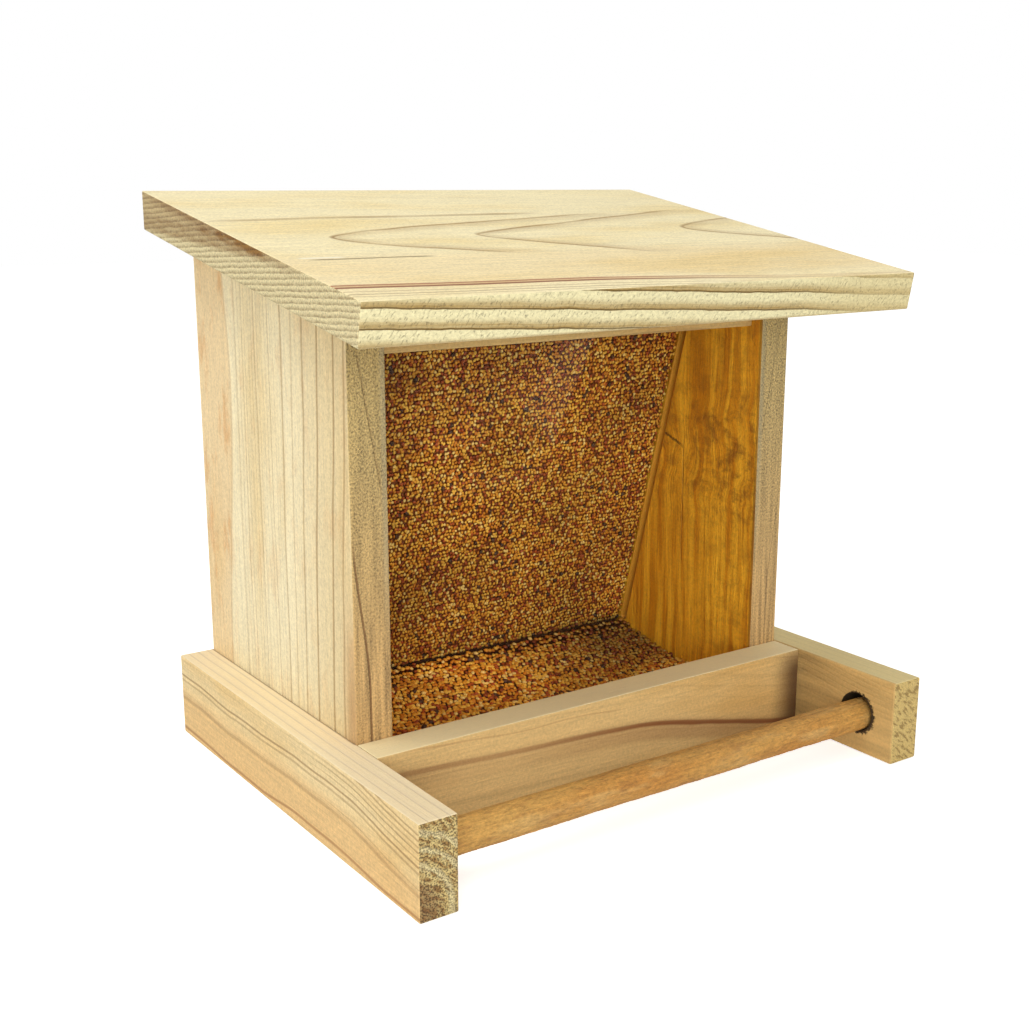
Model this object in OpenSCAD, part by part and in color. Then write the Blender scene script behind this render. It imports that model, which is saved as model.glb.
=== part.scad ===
// Hopper bird feeder built from softwood boards: a hinged roof that falls to the front, a slanted clear
// panel that holds the seed back, a tray with a lip, two base rails and a round perch between them.
// Millimetres. X runs across the feeder, its front looks along -Y, Z is up.
// The origin is on the ground under the middle of the feeder's box.

/* [Overall] */
// Ground to the roof's upper back edge
total_h = 184; // [175:1:200]

/* [Roof] */
// Roof board from left to right
roof_w = 200; // [194:1:220]
// Roof board along its fall, on the upper face
roof_len = 146; // [130:1:155]
// Roof board thickness
roof_t = 12; // [11:0.5:15]
// Fall of the roof towards the front, degrees
roof_fall = 10; // [6:0.5:12]

/* [Base] */
// Length of each base rail, front to back
rail_len = 160; // [155:1:175]
// Rail thickness
rail_t = 12; // [11:0.5:15]
// Rail height
rail_h = 28; // [26:1:34]
// Clear width between the two rails
rail_gap = 168; // [160:1:176]
// Rail front ends to the front face of the lip
lip_setback = 43; // [38:1:46]
// Lip thickness
lip_t = 12; // [10:0.5:14]
// Floor board thickness
floor_t = 10; // [8:0.5:11]

/* [Walls] */
// Side wall thickness
wall_t = 12; // [11:0.5:14]
// Back panel thickness
back_t = 10; // [8:0.5:12]
// How far the back panel is let into each wall
rebate_w = 6; // [5:0.5:7]
// Header strip thickness, front to back
header_t = 12; // [10:0.5:15]
// Header strip's lower edge below the roof, at its front face
header_drop = 14.5; // [12:0.5:20]
// Wall fronts to the front face of the header strip
header_setback = 5; // [3:0.5:8]

/* [Seed panel] */
// Clear panel thickness
panel_t = 2; // [1.5:0.1:3]
// Lean of the panel towards the front, degrees from upright
panel_lean = 15; // [10:0.5:17]
// Gap between floor and panel where the seed runs out
seed_slot = 10; // [8:0.5:12]
// Width of the hopper's throat at the panel's foot
throat = 23.5; // [18:0.5:28]
// Depth of the kerfs that hold the panel's edges
kerf_depth = 4; // [3:0.5:5]

/* [Seed] */
// Fill height of the hopper above the floor
seed_fill_h = 136; // [90:1:138]
// Depth of the seed at the lip
seed_bed = 3; // [2:0.5:5]

/* [Perch] */
// Perch diameter
perch_d = 10.5; // [9.5:0.5:13]
// Rail front ends to the perch axis
perch_setback = 16; // [13:0.5:18]
// Height of the perch axis
perch_z = 12.5; // [11:0.5:14]
// Depth of the blind sockets in the rails
socket_depth = 8; // [6:0.5:9]

/* [Hinges] */
// Length of each hinge along its pin
hinge_len = 30; // [26:1:36]
// Distance between the middles of the two hinges
hinge_span = 104; // [90:1:108]
// Hinge leaf thickness
leaf_t = 1; // [0.8:0.1:1.2]
// Reach of each leaf from the pin axis
leaf_reach = 10; // [9.5:0.1:10.5]
// Knuckle outside radius
knuckle_r = 1.9; // [1.7:0.1:2.1]
// Pin radius
pin_r = 0.9; // [0.7:0.1:1]

/* [Hidden] */
$fn = 64;

// Clearances
cut = 1;
fit = 0.05;
running_gap = 0.3;
roof_seat = 0.1;
panel_play = 0.2;
kerf_end_gap = 0.6;
panel_top_gap = 1;
seed_gap = 0.2;
perch_play = 1.25;
perch_end_gap = 0.5;

// Box of the feeder, front to back
barrel_off = knuckle_r + running_gap;
hinge_reach = barrel_off + knuckle_r;
y_back = (rail_len - hinge_reach) / 2;
y_front = y_back - rail_len;

// Base and walls
rail_in = rail_gap / 2;
lip_y = y_front + lip_setback;
wall_y = lip_y + lip_t;
wall_in = rail_in - wall_t;
back_y = y_back - back_t;
tie_z = (floor_t + rail_h) / 2;

// Roof
roof_run = roof_len * cos(roof_fall);
roof_drop = roof_len * sin(roof_fall);
under_back_z = total_h - roof_t / cos(roof_fall);
function roof_under(y) = under_back_z - (y_back - y) * tan(roof_fall);
function wall_top(y) = roof_under(y) - roof_seat;

// Header strip
header_y = wall_y + header_setback;
header_z = roof_under(header_y) - header_drop;

// Seed panel, its foot is the lower edge of its front face
panel_y = back_y - throat - panel_t / cos(panel_lean);
panel_z = floor_t + seed_slot;
panel_h = (roof_under(panel_y) - panel_z - panel_top_gap)
    / (cos(panel_lean) + sin(panel_lean) * tan(roof_fall));
panel_w = 2 * (wall_in + kerf_depth - kerf_end_gap);
function panel_front(z) = panel_y - (z - panel_z) * tan(panel_lean);
function panel_rear(z) = panel_front(z) + panel_t / cos(panel_lean);

// Seed
fill_z = floor_t + seed_fill_h;
bed_z = floor_t + seed_bed;

// Perch
perch_r = perch_d / 2;
perch_y = y_front + perch_setback;
socket_r = perch_r + perch_play;
// The perch lies low in its sockets
socket_z = perch_z + perch_play - running_gap;
perch_len = rail_gap + 2 * (socket_depth - perch_end_gap);

// Hinges, the pin axis lies behind the joint between roof and back panel
pin_y = y_back + barrel_off;
pin_z = under_back_z;
knuckles = 3;
knuckle_len = hinge_len / knuckles;
leaf_start = barrel_off;
hinge_hole_x = hinge_len * 0.3;
hinge_hole_z = (leaf_start + leaf_reach) / 2;

// Screws and nails
hinge_screw_r = 1.1;
hinge_screw_head_r = 2.1;
hinge_screw_len = 13;
rail_screw_r = 1.6;
rail_screw_head_r = 3.2;
rail_screw_head_h = 1.8;
rail_screw_bite = 8;
rail_screw_len = wall_t + rail_screw_bite;
// Cross recess in the screw heads, as shares of the head's radius
recess_reach = 0.6;
recess_width = 0.28;
recess_depth = 0.3;
recess_turn = 30;
nail_r = 0.8;
nail_head_r = 1.7;
nail_head_h = 0.8;
back_nail_len = 26;
side_nail_bite = 15;
side_nail_len = wall_t + side_nail_bite;

// Places of the fastenings
back_nail_x = wall_in + rebate_w / 2;
back_nail_rows = 4;
back_nail_inset = 24;
back_nail_low = (floor_t / 2 + tie_z) / 2;
back_nail_pitch = (under_back_z - back_nail_inset - back_nail_low) / (back_nail_rows - 1);
back_nail_z = [for (i = [0 : back_nail_rows - 1]) back_nail_low + i * back_nail_pitch];
floor_nail_y = [for (f = [0.15, 0.5, 0.85]) wall_y + f * (back_y - wall_y)];
rail_screw_front = 10;
rail_screw_back = 14;
rail_screw_y = [wall_y + rail_screw_front, back_y - rail_screw_back];
header_nail_y = header_y + header_t / 2;
header_nail_z = header_z + header_drop * 0.7;

// Colours
roof_colour = "#dcc894";
wall_colour = "#d8bb80";
inner_colour = "#b98a3c";
rail_colour = "#cfa970";
lip_colour = "#c9a574";
perch_colour = "#b98a50";
hidden_colour = "#c8ad7c";
seed_colour = "#a8742c";
steel_colour = "#b4b6b8";
panel_colour = [0.9, 0.94, 0.95, 0.3];

// A profile drawn in Y and Z, carried across X about the middle
module across(width) {
    rotate([90, 0, 90])
        linear_extrude(width, center = true)
            children();
}

// A board standing square to the axes, from its low corner to its high corner
module board(low, high) {
    translate(low)
        cube(high - low);
}

// Copies of the children on the right and mirrored on the left
module both_sides() {
    children();
    mirror([1, 0, 0])
        children();
}

// A flat-headed nail: head face at the origin, point along +Z
module nail(length, gap = 0) {
    cylinder(h = nail_head_h, r = nail_head_r + gap);
    cylinder(h = length + gap, r = nail_r + gap);
}

// Cross recess for a screwdriver, sunk into a head face at the origin
module cross_recess(head_r) {
    for (turn = [0, 90])
        rotate(recess_turn + turn)
            cube(2 * head_r * [recess_reach, recess_width / 2, recess_depth], center = true);
}

// A countersunk screw: head face at the origin, point along +Z; a hole for one has no recess
module screw(length, shank_r, head_r, head_h, gap = 0) {
    difference() {
        union() {
            cylinder(h = head_h, r1 = head_r + gap, r2 = shank_r + gap);
            cylinder(h = length + gap, r = shank_r + gap);
        }
        if (gap == 0)
            cross_recess(head_r);
    }
}

// Nails and screws in their places; gap widens them into the holes that take them
module back_nail_set(gap = 0) {
    both_sides()
        for (z = back_nail_z)
            translate([back_nail_x, y_back, z])
                rotate([90, 0, 0])
                    nail(back_nail_len, gap);
}

module floor_nail_set(gap = 0) {
    both_sides()
        for (y = floor_nail_y)
            translate([rail_in, y, floor_t / 2])
                rotate([0, -90, 0])
                    nail(side_nail_len, gap);
}

module header_nail_set(gap = 0) {
    both_sides()
        translate([rail_in, header_nail_y, header_nail_z])
            rotate([0, -90, 0])
                nail(side_nail_len, gap);
}

module rail_screw_set(gap = 0) {
    both_sides()
        for (y = rail_screw_y)
            translate([wall_in, y, tie_z])
                rotate([0, 90, 0])
                    screw(rail_screw_len, rail_screw_r, rail_screw_head_r, rail_screw_head_h, gap);
}

// Screws of both hinges on one leaf: side 1 is the roof leaf, side -1 the back leaf
module hinge_screw_set(side, gap = 0) {
    both_sides()
        for (x = [-hinge_hole_x, hinge_hole_x])
            translate([hinge_span / 2 + x, y_back + leaf_t, pin_z + side * hinge_hole_z])
                rotate([90, 0, 0])
                    screw(hinge_screw_len, hinge_screw_r, hinge_screw_head_r, leaf_t, gap);
}

// Everything below here is one module per piece
module roof_board() {
    front = [y_back - roof_run, total_h - roof_drop];
    square_cut = roof_t * [sin(roof_fall), -cos(roof_fall)];
    color(roof_colour)
        difference() {
            across(roof_w)
                polygon([[y_back, total_h], [y_back, under_back_z], front + square_cut, front]);
            hinge_screw_set(1, fit);
        }
}

module panel_place() {
    translate([0, panel_y, panel_z])
        rotate([panel_lean, 0, 0])
            children();
}

// Right wall: a kerf for the clear panel, a rebate for the back panel, holes for the fastenings
module wall_body() {
    difference() {
        translate([rail_in - wall_t / 2, 0, 0])
            across(wall_t)
                polygon([[wall_y, 0], [y_back, 0], [y_back, wall_top(y_back)], [wall_y, wall_top(wall_y)]]);
        panel_place()
            translate([wall_in - cut, -panel_play, 0])
                cube([kerf_depth + cut, panel_t + 2 * panel_play, total_h]);
        board([wall_in - cut, back_y, -cut], [wall_in + rebate_w, y_back + cut, total_h]);
        back_nail_set(fit);
        floor_nail_set(fit);
        header_nail_set(fit);
        rail_screw_set(fit);
    }
}

module right_wall() {
    color(inner_colour)
        wall_body();
}

module left_wall() {
    color(wall_colour)
        mirror([1, 0, 0])
            wall_body();
}

module back_panel() {
    color(hidden_colour)
        difference() {
            across(2 * (wall_in + rebate_w))
                polygon([[back_y, 0], [y_back, 0], [y_back, wall_top(y_back)], [back_y, wall_top(back_y)]]);
            back_nail_set(fit);
            hinge_screw_set(-1, fit);
        }
}

module floor_board() {
    color(hidden_colour)
        difference() {
            board([-wall_in, wall_y, 0], [wall_in, back_y, floor_t]);
            floor_nail_set(fit);
        }
}

module front_lip() {
    color(lip_colour)
        board([-rail_in, lip_y, 0], [rail_in, wall_y, rail_h]);
}

// Right rail with the blind socket for the perch
module rail_body() {
    difference() {
        board([rail_in, y_front, 0], [rail_in + rail_t, y_back, rail_h]);
        translate([rail_in - cut, perch_y, socket_z])
            rotate([0, 90, 0])
                cylinder(h = socket_depth + cut, r = socket_r);
        rail_screw_set(fit);
    }
}

module right_rail() {
    color(rail_colour)
        rail_body();
}

module left_rail() {
    color(rail_colour)
        mirror([1, 0, 0])
            rail_body();
}

module perch() {
    color(perch_colour)
        translate([0, perch_y, perch_z])
            rotate([0, 90, 0])
                cylinder(h = perch_len, r = perch_r, center = true);
}

module header_strip() {
    back = header_y + header_t;
    color(lip_colour)
        difference() {
            across(2 * wall_in)
                polygon([[header_y, header_z], [back, header_z], [back, wall_top(back)],
                    [header_y, wall_top(header_y)]]);
            header_nail_set(fit);
        }
}

module seed_panel() {
    color(panel_colour)
        panel_place()
            board([-panel_w / 2, 0, 0], [panel_w / 2, panel_t, panel_h]);
}

// Loose seed: a wedge behind the panel that runs out under it and falls away over the tray
module seed_fill() {
    foot_z = panel_z - seed_gap;
    run_out_y = panel_front(panel_z) - seed_slot * 3;
    color(seed_colour)
        across(2 * (wall_in - seed_gap))
            polygon([
                [wall_y + seed_gap, floor_t],
                [back_y - seed_gap, floor_t],
                [back_y - seed_gap, fill_z],
                [panel_rear(fill_z) + seed_gap, fill_z],
                [panel_rear(foot_z) + seed_gap, foot_z],
                [panel_front(foot_z), foot_z],
                [run_out_y, bed_z + seed_bed / 2],
                [wall_y + seed_gap, bed_z]
            ]);
}

// One hinge leaf about its pin axis: own lists the knuckles that it carries, counted along X
module hinge_leaf(own, side) {
    difference() {
        union() {
            mirror([0, 0, side < 0 ? 1 : 0])
                board([-hinge_len / 2, -barrel_off, leaf_start], [hinge_len / 2, leaf_t - barrel_off, leaf_reach]);
            for (i = own) {
                low_x = -hinge_len / 2 + i * knuckle_len + (i > 0 ? running_gap / 2 : 0);
                high_x = -hinge_len / 2 + (i + 1) * knuckle_len - (i < knuckles - 1 ? running_gap / 2 : 0);
                translate([low_x, 0, 0])
                    rotate([0, 90, 0])
                        cylinder(h = high_x - low_x, r = knuckle_r);
                mirror([0, 0, side < 0 ? 1 : 0])
                    board([low_x, -barrel_off, 0], [high_x, leaf_t - barrel_off, leaf_start + fit]);
            }
        }
        translate([-hinge_len, 0, 0])
            rotate([0, 90, 0])
                cylinder(h = 2 * hinge_len, r = pin_r + fit);
    }
}

module roof_leaf(x) {
    difference() {
        translate([x, pin_y, pin_z])
            hinge_leaf([1], 1);
        hinge_screw_set(1, fit);
    }
}

module back_leaf(x) {
    difference() {
        translate([x, pin_y, pin_z])
            hinge_leaf([0, 2], -1);
        hinge_screw_set(-1, fit);
    }
}

module hinge_pin(x) {
    translate([x - hinge_len / 2, pin_y, pin_z])
        rotate([0, 90, 0])
            cylinder(h = hinge_len, r = pin_r);
}

module left_hinge_roof_leaf() {
    color(steel_colour)
        roof_leaf(-hinge_span / 2);
}

module left_hinge_back_leaf() {
    color(steel_colour)
        back_leaf(-hinge_span / 2);
}

module left_hinge_pin() {
    color(steel_colour)
        hinge_pin(-hinge_span / 2);
}

module right_hinge_roof_leaf() {
    color(steel_colour)
        roof_leaf(hinge_span / 2);
}

module right_hinge_back_leaf() {
    color(steel_colour)
        back_leaf(hinge_span / 2);
}

module right_hinge_pin() {
    color(steel_colour)
        hinge_pin(hinge_span / 2);
}

module roof_hinge_screws() {
    color(steel_colour)
        hinge_screw_set(1);
}

module back_hinge_screws() {
    color(steel_colour)
        hinge_screw_set(-1);
}

module back_nails() {
    color(steel_colour)
        back_nail_set();
}

module floor_nails() {
    color(steel_colour)
        floor_nail_set();
}

module rail_screws() {
    color(steel_colour)
        rail_screw_set();
}

module header_nails() {
    color(steel_colour)
        header_nail_set();
}

roof_board();
left_wall();
right_wall();
back_panel();
floor_board();
front_lip();
left_rail();
right_rail();
perch();
header_strip();
seed_panel();
seed_fill();
left_hinge_roof_leaf();
left_hinge_back_leaf();
left_hinge_pin();
right_hinge_roof_leaf();
right_hinge_back_leaf();
right_hinge_pin();
roof_hinge_screws();
back_hinge_screws();
back_nails();
floor_nails();
rail_screws();
header_nails();
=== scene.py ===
"""Looks of the hopper bird feeder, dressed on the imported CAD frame.

Lengths in the materials are millimetres in the part's own frame; everything else is metres.
"""
import itertools
import math

import bpy
import numpy as np
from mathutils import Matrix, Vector, noise


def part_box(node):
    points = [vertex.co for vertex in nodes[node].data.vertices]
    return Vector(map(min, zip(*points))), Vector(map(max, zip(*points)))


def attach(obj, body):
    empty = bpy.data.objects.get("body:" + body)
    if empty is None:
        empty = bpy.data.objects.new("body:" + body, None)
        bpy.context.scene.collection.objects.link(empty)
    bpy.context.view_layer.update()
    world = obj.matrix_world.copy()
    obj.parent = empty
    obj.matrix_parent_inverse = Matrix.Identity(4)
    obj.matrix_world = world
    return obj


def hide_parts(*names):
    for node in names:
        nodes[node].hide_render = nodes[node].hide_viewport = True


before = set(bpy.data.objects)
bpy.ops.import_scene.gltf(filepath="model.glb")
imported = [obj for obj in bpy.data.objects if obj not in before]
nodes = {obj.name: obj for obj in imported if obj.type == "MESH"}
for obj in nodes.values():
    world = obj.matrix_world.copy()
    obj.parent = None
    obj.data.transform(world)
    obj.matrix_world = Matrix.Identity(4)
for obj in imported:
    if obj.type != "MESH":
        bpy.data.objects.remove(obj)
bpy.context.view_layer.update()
scene = bpy.context.scene
MM = 1000.0


def span(node):
    """Lowest and highest corner of a CAD node in millimetres."""
    low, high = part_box(node)
    return low * MM, high * MM


def points_of(node):
    """Corners of a CAD node in millimetres."""
    return [v.co * MM for v in nodes[node].data.vertices]


def linear(code):
    """A colour written as rrggbb, as linear values."""
    parts = [int(code[i:i + 2], 16) / 255 for i in (0, 2, 4)]
    return [p / 12.92 if p <= 0.04045 else ((p + 0.055) / 1.055) ** 2.4 for p in parts]


# Sizes that the materials and pieces follow
roof_low, roof_high = span("roof_board")
wall_low, wall_high = span("right_wall")
rail_low, rail_high = span("right_rail")
lip_low, lip_high = span("front_lip")
perch_low, perch_high = span("perch")
fill_low, fill_high = span("seed_fill")
roof_front = min(points_of("roof_board"), key=lambda p: (round(p.y, 2), -p.z))
roof_fall = math.atan2(roof_high.z - roof_front.z, roof_high.y - roof_front.y)
perch_y = (perch_low.y + perch_high.y) / 2
perch_z = (perch_low.z + perch_high.z) / 2
perch_r = (perch_high.z - perch_low.z) / 2
near_perch = [p for p in points_of("right_rail") if abs(p.y - perch_y) < 2 * perch_r]
socket = [p for p in near_perch if 1 < p.z < rail_high.z - 1]
socket_low, socket_high = [[pick(p[a] for p in socket) for a in (1, 2)] for pick in (min, max)]
socket_y, socket_z = [(a + b) / 2 for a, b in zip(socket_low, socket_high)]
socket_r = (socket_high[1] - socket_low[1]) / 2
panel_points = points_of("seed_panel")
panel_foot = min(panel_points, key=lambda p: p.z)
panel_head = min(panel_points, key=lambda p: p.y)
panel_lean = math.atan2(panel_foot.y - panel_head.y, panel_head.z - panel_foot.z)
panel_thick = (max(p.z for p in panel_points) - panel_head.z) / math.sin(panel_lean)
# Section of the seed: the brow where it meets the panel, and the tray from the lip to the panel's foot
section = sorted({(round(p.y, 2), round(p.z, 2)) for p in points_of("seed_fill")})
fill_brow = min(p for p in section if p[1] > fill_high.z - 0.1)
fill_tray = [p for p in section if fill_low.z + 1 < p[1] < fill_high.z - 1]


class Num:
    """A number in a node tree that can be used in plain sums."""

    def __init__(self, tree, socket):
        self.tree, self.socket = tree, socket

    def __add__(self, other):
        return self.tree.math("ADD", self, other)

    def __sub__(self, other):
        return self.tree.math("SUBTRACT", self, other)

    def __mul__(self, other):
        return self.tree.math("MULTIPLY", self, other)

    def __truediv__(self, other):
        return self.tree.math("DIVIDE", self, other)

    def __pow__(self, other):
        return self.tree.math("POWER", self, other)

    def __radd__(self, other):
        return self.tree.math("ADD", other, self)

    def __rsub__(self, other):
        return self.tree.math("SUBTRACT", other, self)

    def __rmul__(self, other):
        return self.tree.math("MULTIPLY", other, self)

    def absolute(self):
        return self.tree.math("ABSOLUTE", self)

    def step(self, low, high):
        """0 below low, 1 above high, smooth between; low may be the larger one."""
        return self.tree.step(self, low, high)


class Tree:
    """One material's nodes. x, y, z are the place in millimetres and nx, ny, nz the face's direction."""

    def __init__(self, name):
        self.material = bpy.data.materials.new(name)
        self.material.use_nodes = True
        self.nodes = self.material.node_tree.nodes
        self.links = self.material.node_tree.links
        self.shader = self.nodes["Principled BSDF"]
        place = self.nodes.new("ShaderNodeTexCoord")
        self.x, self.y, self.z = [p * MM for p in self.parts(place.outputs["Object"])]
        self.nx, self.ny, self.nz = self.parts(place.outputs["Normal"])

    def put(self, value, socket):
        if isinstance(value, Num):
            value = value.socket
        if isinstance(value, bpy.types.NodeSocket):
            self.links.new(value, socket)
        elif socket.type == "RGBA" and not isinstance(value, (int, float)):
            socket.default_value = [*value[:3], 1]
        else:
            socket.default_value = value

    def parts(self, vector):
        node = self.nodes.new("ShaderNodeSeparateXYZ")
        self.put(vector, node.inputs[0])
        return [Num(self, s) for s in node.outputs]

    def vector(self, x, y, z):
        node = self.nodes.new("ShaderNodeCombineXYZ")
        for value, socket in zip((x, y, z), node.inputs):
            self.put(value, socket)
        return node.outputs[0]

    def math(self, kind, *values):
        node = self.nodes.new("ShaderNodeMath")
        node.operation = kind
        for value, socket in zip(values, node.inputs):
            self.put(value, socket)
        return Num(self, node.outputs[0])

    def step(self, value, low, high):
        node = self.nodes.new("ShaderNodeMapRange")
        node.interpolation_type = "SMOOTHSTEP"
        for item, name in ((value, "Value"), (low, "From Min"), (high, "From Max")):
            self.put(item, node.inputs[name])
        return Num(self, node.outputs["Result"])

    def noise(self, x, y, z, detail=2.0, rough=0.5):
        """Smooth noise about 0.5; one unit is one bump."""
        node = self.nodes.new("ShaderNodeTexNoise")
        self.put(self.vector(x, y, z), node.inputs["Vector"])
        self.put(1.0, node.inputs["Scale"])
        self.put(detail, node.inputs["Detail"])
        self.put(rough, node.inputs["Roughness"])
        return Num(self, node.outputs[0])

    def chance(self, value):
        """A fixed chance value, 0 to 1, for each whole number."""
        node = self.nodes.new("ShaderNodeTexWhiteNoise")
        node.noise_dimensions = "1D"
        self.put(self.math("FLOOR", value), node.inputs["W"])
        return Num(self, node.outputs["Value"])

    def mix(self, share, first, second, kind="MIX"):
        node = self.nodes.new("ShaderNodeMix")
        node.data_type = "RGBA"
        node.blend_type = kind
        self.put(share, node.inputs[0])
        self.put(first, node.inputs[6])
        self.put(second, node.inputs[7])
        return node.outputs[2]

    def times(self, colour, amount):
        """The colour made lighter or darker by a number."""
        node = self.nodes.new("ShaderNodeVectorMath")
        node.operation = "SCALE"
        self.put(colour, node.inputs[0])
        self.put(amount, node.inputs["Scale"])
        return node.outputs[0]

    def finish(self, colour, rough, height, depth=0.3, strength=1.0):
        """Colour, roughness and a relief of that depth in millimetres; returns the material."""
        self.put(colour, self.shader.inputs["Base Color"])
        self.put(rough, self.shader.inputs["Roughness"])
        bump = self.nodes.new("ShaderNodeBump")
        self.put(strength, bump.inputs["Strength"])
        self.put(depth / MM, bump.inputs["Distance"])
        self.put(height, bump.inputs["Height"])
        self.put(bump.outputs[0], self.shader.inputs["Normal"])
        return self.material


def stroke(gap, width):
    """1 on a thin line and 0 beside it; gap is the way across from the line."""
    return gap.absolute().step(width, width * 0.3)


def within(value, low, high, soft):
    """1 between low and high, falling to 0 over the soft stretch outside."""
    return value.step(low - soft, low) * value.step(high + soft, high)


def square_on(way):
    """1 on faces that look along a way or against it, 0 on the others."""
    return way.absolute().step(0.5, 0.9)


def year_lines(t, year, slope, width=0.7, fade=3.5, least=0.3):
    """The dark line that closes each year, sharp outside and fading inwards; slope is years to 1 mm."""
    gap = (1 - t.math("FRACT", year)) / slope
    strong = t.chance(year) * (1 - least) + least
    return (gap.step(width, width * 0.4) * 0.65 + gap.step(fade, 0) * 0.35) * strong


def bare_wood(t, along, across, depth, line, pale, late, tint, seed):
    """Planed softwood with its fibres along the first way. Returns colour, roughness and relief."""
    long = t.noise(along * 0.018, across * 1.1, depth * 1.1 + seed, detail=4, rough=0.6)
    short = t.noise(along * 0.12, across * 2.4, depth * 2.4 + seed, detail=3, rough=0.6)
    grit = t.noise(t.x * 1.1, t.y * 1.1, t.z * 1.1, detail=3, rough=0.7)
    patch = t.noise(along * 0.012, across * 0.04, depth * 0.04 + seed + 5, detail=3)
    colour = t.mix(line, linear(pale), linear(late))
    colour = t.mix(patch.step(0.45, 0.75) * 0.7, colour, linear(tint), "MULTIPLY")
    colour = t.times(colour, long * 0.35 + short * 0.4 + grit * 0.7 + 0.27)
    return colour, long * 0.2 + short * 0.15 + 0.5, long * 0.5 + short * 0.35 + grit * 0.3 - line * 0.6


def end_grain(t, colour, height, cut, line, end, late):
    """Rough sawn ends, where the face cuts the fibres squarely."""
    pits = t.noise(t.x * 1.7, t.y * 1.7, t.z * 1.7, detail=3, rough=0.7)
    sawn = t.mix(line, linear(end), linear(late))
    sawn = t.times(sawn, pits.step(0.3, 0.62) * 0.45 + 0.66)
    square = square_on(cut)
    return t.mix(square, colour, sawn), height + square * pits * 1.6


def roof_front_edge(t, deep):
    """Worn layers that run down to the right, pale above and brown below. Returns colour and relief."""
    thick, slope = 5.3, 0.053
    wave = (t.noise(t.x * 0.03, 1.0, 7.0) - 0.5) * 2.0 + (t.noise(t.x * 0.2, deep * 0.3, 2.0) - 0.5) * 0.5
    lump = t.noise(t.x * 0.9, deep * 1.2, 3.0, detail=2, rough=0.7)
    crackle = t.noise(t.x * 2.2 + deep * 1.4, deep * 0.7, 5.0, detail=2).step(0.4, 0.32)
    level = deep - (t.x - roof_low.x) * slope + wave - 1.9
    share = t.math("FRACT", level * (1 / thick) + 10)
    fine = t.noise(t.x * 0.02, level * 2.2, 8.0, detail=3)
    smooth = t.x.step(35, 85)
    groove = share.step(0.91, 0.98) * (1 - smooth * 0.8)
    colour = t.mix(share.step(0.3, 0.92) * (fine * 1.2 + 0.3), linear("e8ddac"), linear("a88848"))
    colour = t.mix(groove * 0.5, colour, linear("725620"))
    # Painted shade: the lowest strip of the front edge, where it turns under, is darkened
    colour = t.mix(deep.step(11.0, 11.8) * 0.7, colour, linear("ad9462"))
    colour = t.mix(smooth * 0.6, colour, linear("d6c48c"))
    colour = t.times(colour, lump * 0.7 - crackle * 0.14 + 0.65)
    return colour, lump * (1 - smooth * 0.7) - groove * 2.0 - crackle * 0.8


# Flames on the roof: the tip along x and down the fall, then width, length and reach above and below it
FLAMES = [(-71, 76, (14, 85, 26), (10, 28, 20)), (-21, 75, (3, 10.5, 29), (8, 16, 25)),
          (66, 72, (9, 36, 13), (8, 18, 20))]


def flame(t, fall, tip, level, above, below):
    """A year line that turns back at its tip, fading inwards."""
    side = fall - level + (t.noise(t.x * 0.03, fall * 0.06, level) - 0.5) * 4
    under = side.step(-1, 1)
    width, length = [under * (b - a) + a for a, b in zip(above[:2], below[:2])]
    ratio = side / width
    root = (ratio * ratio + 1) ** 0.5
    lean = ratio * length / width / root
    inside = (t.x - tip - (root - 1) * length) / (lean * lean + 1) ** 0.5
    line = stroke(inside, 1.2) * 0.65 + inside.step(-0.5, 0.3) * inside.step(9, 0) * 0.45
    return line * within(side, -above[2], below[2], 7)


# Lines along the roof's front edge: the way down the fall from the first, the width, how dark, the colour
EDGE_LINES = [(0.0, 0.9, 0.8, "964e2a"), (2.4, 1.1, 0.95, "7a4020"), (1.2, 2.4, 0.4, "b8784a"),
              (6.5, 0.5, 0.5, "a88252"), (9.0, 0.5, 0.6, "96703e"), (11.0, 0.4, 0.5, "a07a48")]


def roof_top(t, fall, deep):
    """Flames, lines along the front edge and, near the left end, a short streak with a pale chip."""
    sway = t.noise(t.x * 0.02, fall * 0.05, deep * 0.05) - 0.5
    line = stroke(fall - 44.5 + t.x * 0.045 + sway * 4, 2.2) * within(t.x, -80, 5, 25) * 0.8
    for place in FLAMES:
        line = t.math("MAXIMUM", line, flame(t, fall, *place))
    worn = t.noise(t.x * 0.03, fall * 0.07, 4.0).step(0.25, 0.6) * 0.5 + 0.5
    line = line * worn * 0.75
    colour, rough, height = bare_wood(t, t.x, fall, deep, line, "f6e7b8", "966a22", "f5e7c2", 1.7)
    pinkish = within(fall, 106, 130, 14) * 0.3
    colour = t.mix(pinkish, colour, linear("f2dcc0"), "MULTIPLY")
    first = fall - (t.x - roof_low.x) * 0.045 - t.x.step(-20, 70) * 5 - 130.5 + sway * 2
    left = t.x.step(60, -30) * 0.8 + 0.2
    for place, width, share, code in EDGE_LINES:
        colour = t.mix(stroke(first - place, width) * left * share, colour, linear(code))
    streak = stroke(fall - 101.7 + sway * 2, 0.8) * within(t.x, -88, -56, 5)
    chip = stroke(fall - 99.8, 1.2) * within(t.x, -92, -82, 3)
    colour = t.mix(streak * 0.75, colour, linear("6b5228"))
    colour = t.mix(chip * 0.8, colour, linear("fbf2d6"))
    return colour, rough, height - streak * 0.8


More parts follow.
